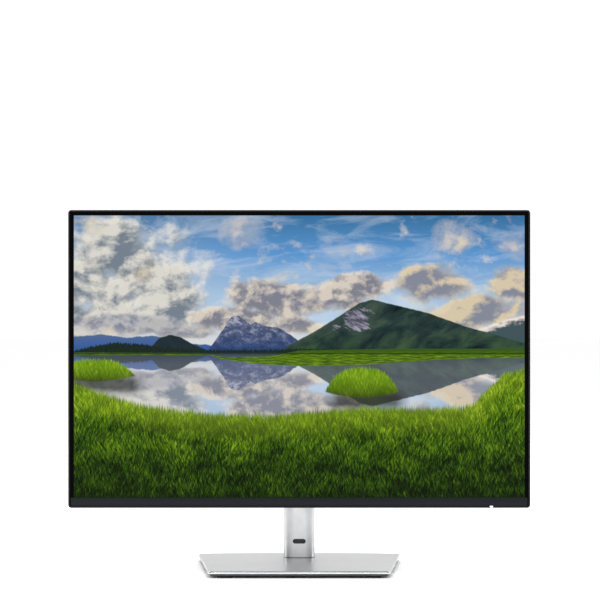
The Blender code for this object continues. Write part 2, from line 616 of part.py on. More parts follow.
def build_rear_cover():
    """A shell lofted through rounded rectangles: flat edge, slope, bulge and back face."""
    edge_y = HEAD_FRONT_Y + RIM_DEPTH + GAP
    rings = [
        (edge_y, ring_points(HEAD_HALF - 0.3 * MM, HEAD_BOTTOM + 0.3 * MM, HEAD_TOP - 0.3 * MM,
                             HEAD_CORNER)),
        (edge_y + 1.6 * MM, ring_points(HEAD_HALF - 3 * MM, HEAD_BOTTOM + 3 * MM, HEAD_TOP - 3 * MM,
                                        HEAD_CORNER)),
        (edge_y + 4.5 * MM, ring_points(BULGE_HALF_WIDTH + 25 * MM, BULGE_BOTTOM - 19 * MM,
                                        BULGE_TOP + 18 * MM, 16 * MM)),
        (BULGE_BACK_Y - 5.0 * MM, ring_points(BULGE_HALF_WIDTH + 2 * MM, BULGE_BOTTOM - 1 * MM,
                                              BULGE_TOP + 1 * MM, 14 * MM)),
        (BULGE_BACK_Y, ring_points(BULGE_HALF_WIDTH - 4 * MM, BULGE_BOTTOM + 4 * MM,
                                   BULGE_TOP - 4 * MM, 11 * MM)),
    ]
    made = bmesh.new()
    loops = [[made.verts.new((x, y, z)) for x, z in points] for y, points in rings]
    for front, back in zip(loops, loops[1:]):
        for i in range(len(front)):
            j = (i + 1) % len(front)
            made.faces.new((front[i], front[j], back[j], back[i]))
    made.faces.new(loops[-1])
    bmesh.ops.recalc_face_normals(made, faces=made.faces)
    mesh = bpy.data.meshes.new("rear_cover")
    made.to_mesh(mesh)
    made.free()
    cover = add("rear_cover", mesh, black_plastic, (0, 0, 0), "up", pivot)
    shell = cover.modifiers.new("wall", "SOLIDIFY")
    shell.thickness = COVER_WALL
    shell.offset = -1
    shell.use_even_offset = True
    cut_box(cover, "cover_front_trim", (-280, -60, 60), (280, edge_y / MM, 430))
    recess = RECESS_SIZE / 2 / MM
    floor, low, high = RECESS_FLOOR_Y / MM, HINGE_Z / MM - recess, HINGE_Z / MM + recess
    join_box(cover, "recess_tub", (-recess - 2, floor - 2, low - 2), (recess + 2, -4.5, high + 2))
    cut_box(cover, "recess_room", (-recess, floor, low), (recess, 10, high))
    bay_sides = [(y * MM, z * MM) for y, z in ((-34.5, 112.5), (-32.4, 112.5), (-9.5, 129.8),
                                               (-9.5, 148.6), (-34.5, 148.6))]
    bay = plate("port_bay_tub", [bay_sides], 224 * MM, (0, 0, 0), "side", collection=cutters)
    boolean(cover, bay, "UNION")
    cut_box(cover, "port_bay_room", (-110, -32.4, 90), (110, 10, 146.5))
    windows = [((-95.4, -31.9, 140), (-7.6, -22.1, 150)), ((3.6, -31.9, 140), (42.4, -22.1, 150)),
               ((65.6, -31.9, 140), (98.4, -9.1, 150))]
    boolean(cover, many_boxes("port_windows", windows), "DIFFERENCE")
    for number, middle in enumerate(mounting_holes(), 1):
        cut_rod(cover, f"cover_hole_{number}", 2.6, 17, 12, middle, "front", 16)
    slots = []
    for i in range(VENT_SLOTS):
        x = (i - VENT_SLOTS / 2) * VENT_PITCH - VENT_WIDTH / 2
        slots.append(((x, -30, 326), (x + VENT_WIDTH, 5, 334)))
    boolean(cover, many_boxes("vent_slots", slots), "DIFFERENCE")


build_base()
build_swivel()
build_riser()
build_mast()
build_carriage()
build_tilt_spring()
build_tilt_head()
build_pivot()
build_front_frame()
build_buttons()
build_panel()
build_chassis()
build_boards()
build_ports()
build_rear_cover()
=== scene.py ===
# %% [markdown]
# # A computer monitor on an adjustable stand
# This script takes the finished solids of a desktop monitor, all in their right places, and gives
# them their looks: moulded black plastic, satin silver metal, rubber, circuit boards, and a lit
# picture of a mountain lake that is painted with shader nodes alone. Lengths are metres.

# %% Load the frame
import json
import math

import bmesh
import bpy
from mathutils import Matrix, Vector


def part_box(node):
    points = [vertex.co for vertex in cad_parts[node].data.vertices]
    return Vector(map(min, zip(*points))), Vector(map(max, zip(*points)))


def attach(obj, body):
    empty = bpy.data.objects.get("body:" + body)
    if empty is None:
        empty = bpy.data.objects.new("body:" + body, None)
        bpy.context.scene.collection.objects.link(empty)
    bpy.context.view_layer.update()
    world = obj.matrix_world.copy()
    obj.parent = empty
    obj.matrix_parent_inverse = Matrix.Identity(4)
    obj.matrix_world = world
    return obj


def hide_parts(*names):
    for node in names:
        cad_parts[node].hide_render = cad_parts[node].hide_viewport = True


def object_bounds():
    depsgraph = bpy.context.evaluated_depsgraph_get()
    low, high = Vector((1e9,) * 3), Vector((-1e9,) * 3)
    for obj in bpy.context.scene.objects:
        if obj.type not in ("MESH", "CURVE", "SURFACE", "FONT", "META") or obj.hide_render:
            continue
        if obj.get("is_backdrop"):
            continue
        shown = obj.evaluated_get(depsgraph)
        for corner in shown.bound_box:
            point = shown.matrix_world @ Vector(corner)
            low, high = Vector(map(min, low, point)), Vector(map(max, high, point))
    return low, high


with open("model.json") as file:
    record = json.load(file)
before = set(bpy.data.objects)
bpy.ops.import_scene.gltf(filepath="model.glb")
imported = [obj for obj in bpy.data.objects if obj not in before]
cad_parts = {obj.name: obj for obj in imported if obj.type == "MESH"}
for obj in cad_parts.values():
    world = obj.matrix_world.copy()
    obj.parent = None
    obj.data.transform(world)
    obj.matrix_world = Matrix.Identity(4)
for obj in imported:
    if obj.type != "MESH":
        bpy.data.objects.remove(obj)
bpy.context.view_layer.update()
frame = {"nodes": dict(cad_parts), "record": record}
MM = 0.001

# %% [markdown]
# ## Camera
# A monitor is looked at from straight ahead, here with a long lens, at about the height of the
# screen's middle. A wide lens close by would make the screen's edges converge.

# %% Camera
LENS, SENSOR_WIDTH = 126.3, 36  # millimetres, as a photographer states them
CAMERA_PLACE = (0.0009, -2.4695, 0.315)

camera_data = bpy.data.cameras.new("camera")
camera_data.lens = LENS
camera_data.sensor_width = SENSOR_WIDTH
camera = bpy.data.objects.new("camera", camera_data)
camera.location = CAMERA_PLACE
camera.rotation_euler = (math.pi / 2, 0, 0)
bpy.context.scene.collection.objects.link(camera)
bpy.context.scene.camera = camera
bpy.context.scene.view_settings.view_transform = "Standard"
print("camera", -CAMERA_PLACE[1], "m in front of the object's middle")

# %% [markdown]
# ## Floor
# The floor is one big pale square, far wider than the view, so that its edge is near the horizon.

# %% Floor
FLOOR_SIZE = 30.0


def new_object(name, mesh):
    made = bpy.data.objects.new(name, mesh)
    bpy.context.scene.collection.objects.link(made)
    return made


floor_shape = bmesh.new()
bmesh.ops.create_grid(floor_shape, x_segments=1, y_segments=1, size=FLOOR_SIZE / 2)
floor_mesh = bpy.data.meshes.new("studio_floor")
floor_shape.to_mesh(floor_mesh)
floor_shape.free()
floor = new_object("studio_floor", floor_mesh)
floor_paint = bpy.data.materials.new("studio_floor")
floor_paint.use_nodes = True
floor_shader = floor_paint.node_tree.nodes["Principled BSDF"]
floor_shader.inputs["Base Color"].default_value = (0.97, 0.97, 0.97, 1)
floor_shader.inputs["Roughness"].default_value = 0.7
floor_shader.inputs["Specular IOR Level"].default_value = 0.2
floor_mesh.materials.append(floor_paint)
floor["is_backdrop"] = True
print("floor:", FLOOR_SIZE, "m wide")

# %% [markdown]
# ## Lights
# Soft light comes from large sources. A wide bank hangs overhead, weaker cards stand at the sides,
# and one card behind picks out the rear edges.

# %% Lights


def softbox(name, place, aim, size, power):
    data = bpy.data.lights.new(name, "AREA")
    data.shape = "RECTANGLE"
    data.size, data.size_y = size
    data.energy = power
    made = bpy.data.objects.new(name, data)
    made.location = place
    made.rotation_euler = (Vector(aim) - Vector(place)).to_track_quat("-Z", "Y").to_euler()
    bpy.context.scene.collection.objects.link(made)
    return made


softbox("overhead_bank", (0, -0.2, 2.4), (0, 0, 0.1), (2.6, 2.2), 30)
softbox("left_card", (-1.9, -0.3, 0.9), (0, 0, 0.2), (0.5, 1.6), 7)
softbox("right_card", (1.9, -0.3, 0.9), (0, 0, 0.2), (0.5, 1.6), 7)
softbox("back_card", (0, 2.0, 2.9), (0, 0, 0.25), (2.2, 1.4), 16)
print("lights placed")

# %% [markdown]
# ## The room
# Metal shows the room more than its own colour. So the room that reflections see isn't one flat
# white: it is bright overhead and at the sides, greyer in between, and has one narrow bright
# patch behind the camera, which the flat front of the riser shows. The camera sees plain white.

# %% World
OVERHEAD = 1.2
OVERHEAD_FROM, OVERHEAD_FULL = 0.25, 0.6  # how far up the overhead light starts and is whole
SEEN_WHITE = 1.05
# how bright the room's wall is, from straight behind the camera round to straight ahead
WALL_LIGHT = ((0.0, 0.88), (0.02, 0.80), (0.07, 0.34), (0.22, 0.36), (0.40, 0.74), (0.62, 0.75),
              (0.8, 0.58), (0.985, 0.66), (1.0, 0.84))

world = bpy.data.worlds.new("studio")
world.use_nodes = True
bpy.context.scene.world = world
room, room_links = world.node_tree.nodes, world.node_tree.links


def room_node(kind, *inputs, operation=None):
    """A node of the room, with its inputs linked or set, in order."""
    node = room.new(kind)
    if operation:
        node.operation = operation
    for socket, value in zip(node.inputs, inputs):
        if hasattr(value, "is_output"):
            room_links.new(value, socket)
        else:
            socket.default_value = value
    return node.outputs[0]


toward = room.new("ShaderNodeTexCoord").outputs["Generated"]
split = room.new("ShaderNodeSeparateXYZ")
room_links.new(toward, split.inputs[0])
round_room = room_node("ShaderNodeMapRange", split.outputs["Y"], -1.0, 1.0, 0.0, 1.0)
wall_light = room.new("ShaderNodeValToRGB")
room_links.new(round_room, wall_light.inputs[0])
stops = wall_light.color_ramp.elements
for number, (place, light) in enumerate(WALL_LIGHT):
    stop = stops[number] if number < 2 else stops.new(place)
    stop.position = place
    stop.color = (light, light, light, 1)
overhead = room_node("ShaderNodeMapRange", split.outputs["Z"], OVERHEAD_FROM, OVERHEAD_FULL,
                     0.0, OVERHEAD)
level = room_node("ShaderNodeMath", wall_light.outputs["Color"], overhead, operation="MAXIMUM")
background = room["Background"]
background.inputs["Color"].default_value = (1.0, 1.0, 1.0, 1)
room_links.new(level, background.inputs["Strength"])
seen = room_node("ShaderNodeBackground", (1, 1, 1, 1), SEEN_WHITE)
straight = room.new("ShaderNodeLightPath").outputs["Is Camera Ray"]
chosen = room_node("ShaderNodeMixShader", straight, background.outputs[0], seen)
room_links.new(chosen, room["World Output"].inputs["Surface"])
print("studio ready")

# %% [markdown]
# ## Arithmetic that writes shader nodes
# A picture or a grain is a formula over a surface, and in Blender a formula is a web of Math nodes.
# Wiring each one by hand hides the formula, so `Field` is a number that varies over the surface:
# adding two of them places an Add node and wires it. The formula then reads as one line.

# %% Field


class Field:
    """A socket's value, with Python's operators as Math nodes."""

    def __init__(self, tree, socket):
        self.tree, self.socket = tree, socket

    def made(self, operation, *values, clamp=False):
        node = self.tree.nodes.new("ShaderNodeMath")
        node.operation = operation
        node.use_clamp = clamp
        for slot, value in zip(node.inputs, values):
            wire(self.tree, value, slot)
        return Field(self.tree, node.outputs[0])

    def __add__(self, other):
        return self.made("ADD", self, other)

    def __radd__(self, other):
        return self.made("ADD", other, self)

    def __sub__(self, other):
        return self.made("SUBTRACT", self, other)

    def __rsub__(self, other):
        return self.made("SUBTRACT", other, self)

    def __mul__(self, other):
        return self.made("MULTIPLY", self, other)

    def __rmul__(self, other):
        return self.made("MULTIPLY", other, self)

    def __truediv__(self, other):
        return self.made("DIVIDE", self, other)

    def clamped(self):
        return self.made("ADD", self, 0.0, clamp=True)

    def most(self, other):
        return self.made("MAXIMUM", self, other)

    def size(self):
        return self.made("ABSOLUTE", self)


def wire(tree, value, socket):
    """A Field is linked to a socket; a plain number or colour is set on it."""
    if isinstance(value, Field):
        tree.links.new(value.socket, socket)
    else:
        socket.default_value = value


def step(field, start, end):
    """0 before start and 1 after end, with a straight ramp between."""
    return ((field - start) / (end - start)).clamped()


def point(tree, x, y, z=0.0):
    node = tree.nodes.new("ShaderNodeCombineXYZ")
    for slot, value in zip(node.inputs, (x, y, z)):
        wire(tree, value, slot)
    return Field(tree, node.outputs[0])


def noise(tree, place, scale, detail=4.0, roughness=0.55, distortion=0.0):
    node = tree.nodes.new("ShaderNodeTexNoise")
    wire(tree, place, node.inputs["Vector"])
    node.inputs["Scale"].default_value = scale
    node.inputs["Detail"].default_value = detail
    node.inputs["Roughness"].default_value = roughness
    node.inputs["Distortion"].default_value = distortion
    return Field(tree, node.outputs["Fac"])


def mix(tree, share, first, second):
    """A colour between two colours."""
    node = tree.nodes.new("ShaderNodeMix")
    node.data_type = "RGBA"
    wire(tree, share, node.inputs["Factor"])
    wire(tree, first, node.inputs["A"])
    wire(tree, second, node.inputs["B"])
    return Field(tree, node.outputs["Result"])


def ramp(tree, value, *stops):
    """A colour read from a ramp; each stop is a position and a colour."""
    node = tree.nodes.new("ShaderNodeValToRGB")
    wire(tree, value, node.inputs[0])
    elements = node.color_ramp.elements
    elements[0].position, elements[0].color = stops[0]
    elements[1].position, elements[1].color = stops[-1]
    for place, colour in stops[1:-1]:
        elements.new(place).color = colour
    return Field(tree, node.outputs["Color"])


def outline(tree, value, *points):
    """A skyline: straight lines through points, each a place and a height."""
    node = tree.nodes.new("ShaderNodeFloatCurve")
    wire(tree, value, node.inputs["Value"])
    curve = node.mapping.curves[0]
    for i, (x, y) in enumerate(points):
        if i < 2:
            curve.points[i].location = (x, y)
        else:
            curve.points.new(x, y)
    for each in curve.points:
        each.handle_type = "VECTOR"
    node.mapping.update()
    return Field(tree, node.outputs[0])


def srgb(text):
    """A web colour as the linear colour that shaders use."""
    parts = [int(text[i:i + 2], 16) / 255 for i in (0, 2, 4)]
    linear = [c / 12.92 if c <= 0.04045 else ((c + 0.055) / 1.055) ** 2.4 for c in parts]
    return (*linear, 1.0)


def group_tree(name, inputs, outputs):
    """An empty shader node group with named sockets, and its inputs as Fields."""
    tree = bpy.data.node_groups.new(name, "ShaderNodeTree")
    for socket, kind, default in inputs:
        made = tree.interface.new_socket(socket, in_out="INPUT", socket_type=kind)
        if default is not None:
            made.default_value = default
    for socket, kind in outputs:
        tree.interface.new_socket(socket, in_out="OUTPUT", socket_type=kind)
    entry = tree.nodes.new("NodeGroupInput")
    exit_node = tree.nodes.new("NodeGroupOutput")
    return tree, {s.name: Field(tree, s) for s in entry.outputs if s.name}, exit_node


def use_group(tree, group, **values):
    node = tree.nodes.new("ShaderNodeGroup")
    node.node_tree = group
    for name, value in values.items():
        wire(tree, value, node.inputs[name])
    return {s.name: Field(tree, s) for s in node.outputs}


def object_place(tree):
    """Where a point is on its object, which moves with it: x, y and z as Fields."""
    texture = tree.nodes.new("ShaderNodeTexCoord")
    split = tree.nodes.new("ShaderNodeSeparateXYZ")
    tree.links.new(texture.outputs["Object"], split.inputs[0])
    whole = Field(tree, texture.outputs["Object"])
    return whole, [Field(tree, s) for s in split.outputs]


print("node helpers ready")

# %% [markdown]
# ## The distant half of the picture
# The picture on the glass is a mountain lake: clouds over a far blue ridge, a craggy peak, a broad
# green mountain and a line of spruces. It is a node group, so the near half can ask for it at any
# place, and the lake can ask for it mirrored. Clouds are noise held inside ovals, and lit from the
# upper left by comparing the noise with itself a step towards the light.

# %% Far scene: sky
HORIZON = 0.512  # across and up both run from 0 to 1 over the picture
WIDE = 1.6  # the picture's width for a height of 1

far, far_in, far_out = group_tree(
    "far_scene",
    [("Across", "NodeSocketFloat", 0.0), ("Up", "NodeSocketFloat", 0.0)],
    [("Color", "NodeSocketColor")],
)
across, up = far_in["Across"], far_in["Up"]

clear_sky = ramp(far, up, (0.50, srgb("e2e0da")), (0.60, srgb("bcd3ea")), (0.72, srgb("a0c0de")),
                 (0.86, srgb("5b97d0")), (1.0, srgb("35709f")))
pale_left = step(across, 0.46, 0.05) * step(up, 1.1, 0.6)
clear_sky = mix(far, pale_left * 0.5, clear_sky, srgb("cdd6e0"))


def mass(x, y, half_width, half_height):
    """1 in the middle of an oval and 0 outside it."""
    wide = (across - x) / half_width
    tall = (up - y) / half_height
    return (1.0 - wide * wide - tall * tall).clamped()


def puffs(x_shift, y_shift, scale, seed):
    place = point(far, across * WIDE + x_shift, up * 1.25 + y_shift, seed)
    return noise(far, place, scale, 9.0, 0.58, 0.15)


def clouds(under, body, scale, seed, edge, light, dark, softness):
    """Lays a bank of cloud over a colour: its upper left side is lit and its foot is dark."""
    here = puffs(0.0, 0.0, scale, seed)
    ahead = puffs(-0.020, 0.030, scale, seed)
    depth = here + body * 0.42 - edge
    cover = step(depth, 0.0, softness)
    lit = step(here - ahead, -0.045, 0.06) * 0.75 + step(depth, 0.22, 0.02) * 0.45
    return mix(far, cover, under, mix(far, lit.clamped(), dark, light))


wisps = noise(far, point(far, across * 2.4 - up * 1.1, up * 5.0, 2.0), 2.6, 9.0, 0.62, 0.7)
far_colour = mix(far, step(wisps, 0.47, 0.78) * 0.62, clear_sky, srgb("dfe7f0"))
high_puffs = mass(0.375, 0.93, 0.10, 0.10).most(mass(0.845, 0.925, 0.075, 0.10))
high_puffs = high_puffs.most(mass(0.60, 0.86, 0.20, 0.10) * 0.72).most(mass(0.97, 0.88, 0.07, 0.09))
far_colour = clouds(far_colour, high_puffs, 5.5, 3.0, 0.74, srgb("d9cfc6"), srgb("93a5bd"), 0.3)
left_bank = mass(0.06, 0.82, 0.26, 0.24).most(mass(0.02, 0.62, 0.24, 0.11))
left_bank = left_bank.most(mass(0.20, 0.68, 0.12, 0.16) * 0.8)
far_colour = clouds(far_colour, left_bank, 5.2, 8.0, 0.62, srgb("f2ede0"), srgb("76828f"), 0.18)
low_left = mass(0.10, 0.615, 0.20, 0.055).most(mass(0.25, 0.585, 0.10, 0.035))
far_colour = clouds(far_colour, low_left, 7.0, 5.0, 0.66, srgb("c9c6c4"), srgb("747f94"), 0.12)
middle_bank = mass(0.50, 0.70, 0.21, 0.10).most(mass(0.37, 0.63, 0.13, 0.065))
middle_bank = middle_bank.most(mass(0.63, 0.75, 0.10, 0.06)).most(mass(0.50, 0.61, 0.10, 0.05))
far_colour = clouds(far_colour, middle_bank, 6.5, 1.0, 0.60, srgb("ece0cd"), srgb("80828f"), 0.16)
right_bank = mass(0.80, 0.745, 0.105, 0.095).most(mass(0.90, 0.66, 0.18, 0.075))
right_bank = right_bank.most(mass(0.98, 0.76, 0.08, 0.09))
far_colour = clouds(far_colour, right_bank, 6.2, 6.0, 0.60, srgb("ecd9b2"), srgb("868b9a"), 0.18)
glow = step(up, 0.62, 0.52)
far_colour = mix(far, glow * 0.40, far_colour, srgb("ecdfc8"))
print("sky:", len(far.nodes), "nodes")

# %% [markdown]
# ## Mountains
# Each skyline is a curve through a few points, and noise roughens it. The farthest is laid down
# first, and each nearer one covers it. Rock, scree and folds are stretched noise.

# %% Far scene: mountains


def rough(scale, amount, seed):
    ripple = noise(far, point(far, across * scale, seed), 1.0, 6.0, 0.62)
    return (ripple - 0.5) * amount


def standing(skyline, softness=0.0018):
    """1 below a skyline and 0 above it."""
    return step(skyline - up, -softness, softness)


snow_line = outline(far, across, (0.0, 0.40), (0.84, 0.50), (0.885, 0.585), (0.93, 0.615),
                    (0.965, 0.632), (1.0, 0.644)) + rough(46.0, 0.020, 2.0)
snow_depth = snow_line - up
snow_patch = noise(far, point(far, across * 60.0, up * 70.0), 1.0, 5.0, 0.6)
snow_colour = mix(far, step(snow_depth + (snow_patch - 0.5) * 0.06, 0.006, 0.024),
                  srgb("efe3dc"), srgb("41555a"))
far_colour = mix(far, standing(snow_line), far_colour, snow_colour)

ridge_line = outline(far, across, (0.0, 0.570), (0.06, 0.578), (0.12, 0.566), (0.18, 0.574),
                     (0.26, 0.545), (0.34, 0.535), (1.0, 0.50)) + rough(40.0, 0.017, 5.0)
ridge_colour = mix(far, step(up, 0.52, 0.575), srgb("2f5a9e"), srgb("4f6a9a"))
far_colour = mix(far, standing(ridge_line), far_colour, ridge_colour)

peak_line = outline(far, across, (0.29, 0.50), (0.300, 0.526), (0.322, 0.575), (0.338, 0.612),
                    (0.350, 0.643), (0.366, 0.645), (0.392, 0.612), (0.402, 0.623), (0.43, 0.606),
                    (0.455, 0.602), (0.48, 0.578), (0.505, 0.545), (0.52, 0.50)) + rough(64.0, 0.014, 7.0)
strata = noise(far, point(far, across * 46.0 + up * 30.0, up * 34.0 - across * 16.0), 1.0, 8.0, 0.72)
rock_lit = step(strata, 0.50, 0.60) * step(up, 0.53, 0.63)
peak_colour = mix(far, step(up, 0.52, 0.64), srgb("2b4778"), srgb("646b86"))
peak_colour = mix(far, step(strata, 0.52, 0.36) * 0.6, peak_colour, srgb("1d2a48"))
peak_colour = mix(far, rock_lit * 0.75, peak_colour, srgb("b9bccb"))
far_colour = mix(far, standing(peak_line), far_colour, peak_colour)

hill_line = outline(far, across, (0.165, 0.50), (0.172, 0.533), (0.188, 0.563), (0.212, 0.577),
                    (0.236, 0.569), (0.262, 0.545), (0.288, 0.527), (0.33, 0.50)) + rough(90.0, 0.006, 8.0)
far_colour = mix(far, standing(hill_line), far_colour,
                 mix(far, strata, srgb("0e1a26"), srgb("2c3d42")))

mount_line = outline(far, across, (0.44, 0.50), (0.479, 0.541), (0.533, 0.587), (0.586, 0.640),
                     (0.632, 0.688), (0.662, 0.702), (0.70, 0.687), (0.784, 0.655), (0.869, 0.606),
                     (0.939, 0.575), (1.0, 0.546)) + rough(70.0, 0.006, 3.0)
folds = noise(far, point(far, across * 15.0 - up * 10.0, up * 9.0 + across * 3.0), 1.0, 6.0, 0.6, 0.4)
mount_colour = ramp(far, folds, (0.34, srgb("111d22")), (0.5, srgb("263a37")), (0.68, srgb("47594a")))
sunlit = step(mount_line - up, 0.03, 0.0) * step(across, 0.70, 0.60)
mount_colour = mix(far, sunlit * 0.35, mount_colour, srgb("5a6a5c"))
lower_green = step(up, 0.60, 0.53) * step(folds, 0.42, 0.6)
mount_colour = mix(far, lower_green * 0.55, mount_colour, srgb("37572f"))
scree = noise(far, point(far, across * 60.0 + up * 50.0, up * 34.0), 1.0, 7.0, 0.7)
scree_area = mass(0.628, 0.632, 0.046, 0.058).most(mass(0.585, 0.600, 0.020, 0.03) * 0.6)
scree_cover = step(scree_area * 0.34 + scree, 0.68, 0.76)
scree_colour = mix(far, step(scree, 0.44, 0.66), srgb("4f4e60"), srgb("aca9bc"))
mount_colour = mix(far, scree_cover, mount_colour, scree_colour)
far_colour = mix(far, standing(mount_line), far_colour, mount_colour)
print("with mountains:", len(far.nodes), "nodes")

# %% [markdown]
# ## Spruces
# A far row of trees is only a dark band with a jagged top, so quick noise along it is enough.

# %% Far scene: spruces
tips = noise(far, point(far, across * 230.0, 0.0), 1.0, 3.0, 0.7)
tall = outline(far, across, (0.0, 0.519), (0.03, 0.532), (0.09, 0.549), (0.16, 0.542), (0.2, 0.530),
               (0.3, 0.522), (0.42, 0.523), (0.52, 0.527), (0.6, 0.521), (1.0, 0.518))
spruce_line = tall + (tips - 0.5) * 0.042
spruce_colour = mix(far, noise(far, point(far, across * 160.0, up * 120.0), 1.0, 3.0),
                    srgb("0b1715"), srgb("24382a"))
far_colour = mix(far, standing(spruce_line, 0.0012), far_colour, spruce_colour)
far.links.new(far_colour.socket, far_out.inputs["Color"])
print("far scene:", len(far.nodes), "nodes")

# %% [markdown]
# ## The near half: marsh, lake and grass
# Below the horizon the lake shows the far scene upside down, a little greyer. Measuring the height
# from the horizon, up or down, folds the picture there, so one far scene serves the sky and the
# lake. A renderer has only so much room for one material's values. A marsh strip lies over the
# far shore. Grass is noise squeezed into thin upright strokes at three sizes, leaning a little, and
# it darkens towards the viewer.

# %% Near scene
near, near_in, near_out = group_tree(
    "lake_picture",
    [("Across", "NodeSocketFloat", 0.0), ("Up", "NodeSocketFloat", 0.0)],
    [("Color", "NodeSocketColor")],
)
across, up = near_in["Across"], near_in["Up"]

ripple = (noise(near, point(near, across * 26.0, up * 240.0), 1.0, 3.0) - 0.5) * 0.006
below = step(HORIZON - up, -0.001, 0.001)
folded = (up - HORIZON).size() + HORIZON + ripple * below
scenery = use_group(near, far, Across=across + ripple * below, Up=folded)["Color"]
water = mix(near, 0.16, scenery, srgb("b4b9c9"))
water = mix(near, step(up, 0.47, 0.505) * 0.55, water, srgb("2c3f52"))
picture = mix(near, below, scenery, water)


def edge_blades(scale, height, seed):
    """How far the tips of grass reach above or below an even edge."""
    tips = noise(near, point(near, across * scale, seed), 1.0, 5.0, 0.75)
    return (tips - 0.5) * height


sway = noise(near, point(near, across * 9.0, up * 6.0, 12.0), 1.0, 3.0) - 0.5


def tufts(columns, rows, lean, seed):
    """Tall thin strokes that lean one way and the other."""
    place = point(near, (across + up * lean + sway * 0.05) * columns, up * rows, seed)
    return noise(near, place, 1.0, 6.0, 0.68, 0.35)


grass = tufts(300.0, 26.0, 0.16, 1.0) * 0.42 + tufts(240.0, 24.0, -0.24, 6.0) * 0.34
grass = grass + tufts(520.0, 60.0, 0.05, 9.0) * 0.24
clumps = noise(near, point(near, across * 15.0, up * 14.0, 3.0), 1.0, 5.0, 0.6)
fade = step(up, 0.36, 0.0)
grass = grass + (clumps - 0.5) * 0.26 - fade * 0.095
meadow = ramp(near, grass, (0.36, srgb("0b1402")), (0.43, srgb("264208")), (0.50, srgb("527a0c")),
              (0.56, srgb("8eac1c")), (0.64, srgb("ccd449")))
meadow = mix(near, fade * 0.45, meadow, srgb("0b1a03"))

# the marsh strip at the far shore
marsh_low = outline(near, across, (0.0, 0.503), (0.30, 0.503), (0.33, 0.487), (0.42, 0.470),
                    (0.52, 0.464), (0.66, 0.470), (0.80, 0.486), (0.90, 0.492), (1.0, 0.492))
marsh_top = outline(near, across, (0.0, 0.515), (0.28, 0.513), (0.34, 0.497), (0.44, 0.502),
                    (0.50, 0.522), (0.70, 0.528), (1.0, 0.528)) + edge_blades(150.0, 0.006, 4.0)
marsh = step(up - marsh_low, 0.0, 0.003) * step(marsh_top - up, 0.0, 0.002)
marsh_colour = ramp(near, noise(near, point(near, across * 40.0, up * 300.0), 1.0, 4.0),
                    (0.35, srgb("2f4a0c")), (0.52, srgb("54780f")), (0.68, srgb("86a01f")))
marsh_colour = mix(near, step(up, 0.502, 0.520), marsh_colour, srgb("3a5a14"))
picture = mix(near, marsh, picture, marsh_colour)
shore = step((up - 0.510).size(), 0.004, 0.001)
picture = mix(near, shore * 0.7, picture, srgb("1c2b12"))
print("lake and marsh:", len(near.nodes), "nodes")

# %% [markdown]
# ## Islets and meadow
# Two tufts of grass stand in the lake, each with a dark reflection below it, and the meadow fills
# the bottom third. They reuse the meadow's colour, and only their outlines are new.

# %% Islets and meadow


def islet(middle, half_width, low, high, seed):
    """A tuft of tall grass with a dark foot that meets the water."""
    side = (across - middle).size() / half_width
    body = step(side + edge_blades(120.0, 0.10, seed), 1.0, 0.93)
    crown = side * side * side * -(high - low) * 0.80 + high
    crown = crown + edge_blades(330.0, 0.075, seed + 1)
    inside = body * step(crown - up, 0.0, 0.005) * step(up - low - side * side * 0.022, 0.0, 0.006)
    foot = step(up, low + (high - low) * 0.62, low)
    colour = mix(near, 0.45, meadow, srgb("86b01a"))
    return inside, mix(near, foot * 0.85, colour, srgb("18240a"))


# middle, half width, foot, crown and seed
ISLETS = ((0.045, 0.095, 0.408, 0.492, 11.0), (0.639, 0.084, 0.350, 0.462, 21.0))
for middle, half, low, high, seed in ISLETS:
    shadow = step((across - middle - 0.012).size() / half, 1.15, 0.75)
    shadow = shadow * step((up - low + 0.008).size(), 0.050, 0.012)
    picture = mix(near, shadow * 0.80, picture, srgb("2b2f1c"))
    inside, colour = islet(middle, half, low, high, seed)
    picture = mix(near, inside, picture, colour)

meadow_line = outline(near, across, (0.0, 0.425), (0.05, 0.398), (0.10, 0.372), (0.146, 0.350),
                      (0.22, 0.332), (0.31, 0.316), (0.44, 0.312), (0.53, 0.326), (0.66, 0.340),
                      (0.80, 0.334), (0.88, 0.345), (0.92, 0.405), (0.95, 0.455), (1.0, 0.480))
meadow_line = meadow_line + edge_blades(60.0, 0.045, 41.0) + edge_blades(430.0, 0.110, 43.0) - 0.014
crest = step(meadow_line - up, 0.11, 0.0)
meadow = mix(near, crest * 0.34, meadow, srgb("9dba2a"))
picture = mix(near, step(meadow_line - up, 0.0, 0.012), picture, meadow)
near.links.new(picture.socket, near_out.inputs["Color"])
print("picture:", len(near.nodes), "nodes")

# %% [markdown]
# ## Grain
# Real surfaces are never one flat value. Moulded plastic has a fine texture from its tool, and its
# colour varies slowly. Every material needs this, so it is one node group, built once.

# %% Grain group
grain_group, grain_in, grain_out = group_tree(
    "moulded_grain",
    [("Color", "NodeSocketColor", (0.02, 0.02, 0.02, 1)), ("Scale", "NodeSocketFloat", 1500.0),
     ("Variation", "NodeSocketFloat", 0.12), ("Roughness", "NodeSocketFloat", 0.5)],
    [("Color", "NodeSocketColor"), ("Roughness", "NodeSocketFloat"), ("Height", "NodeSocketFloat")],
)
whole, _ = object_place(grain_group)
fine = grain_group.nodes.new("ShaderNodeTexNoise")
grain_group.links.new(whole.socket, fine.inputs["Vector"])
grain_group.links.new(grain_in["Scale"].socket, fine.inputs["Scale"])
fine.inputs["Detail"].default_value = 3.0
slow = noise(grain_group, whole, 14.0, 3.0)
fine_value = Field(grain_group, fine.outputs["Fac"])
varied = grain_in["Variation"]
tone = (slow - 0.5) * varied + (fine_value - 0.5) * varied * 1.5 + 1.0
scaled = grain_group.nodes.new("ShaderNodeVectorMath")
scaled.operation = "SCALE"
grain_group.links.new(grain_in["Color"].socket, scaled.inputs[0])
grain_group.links.new(tone.socket, scaled.inputs["Scale"])
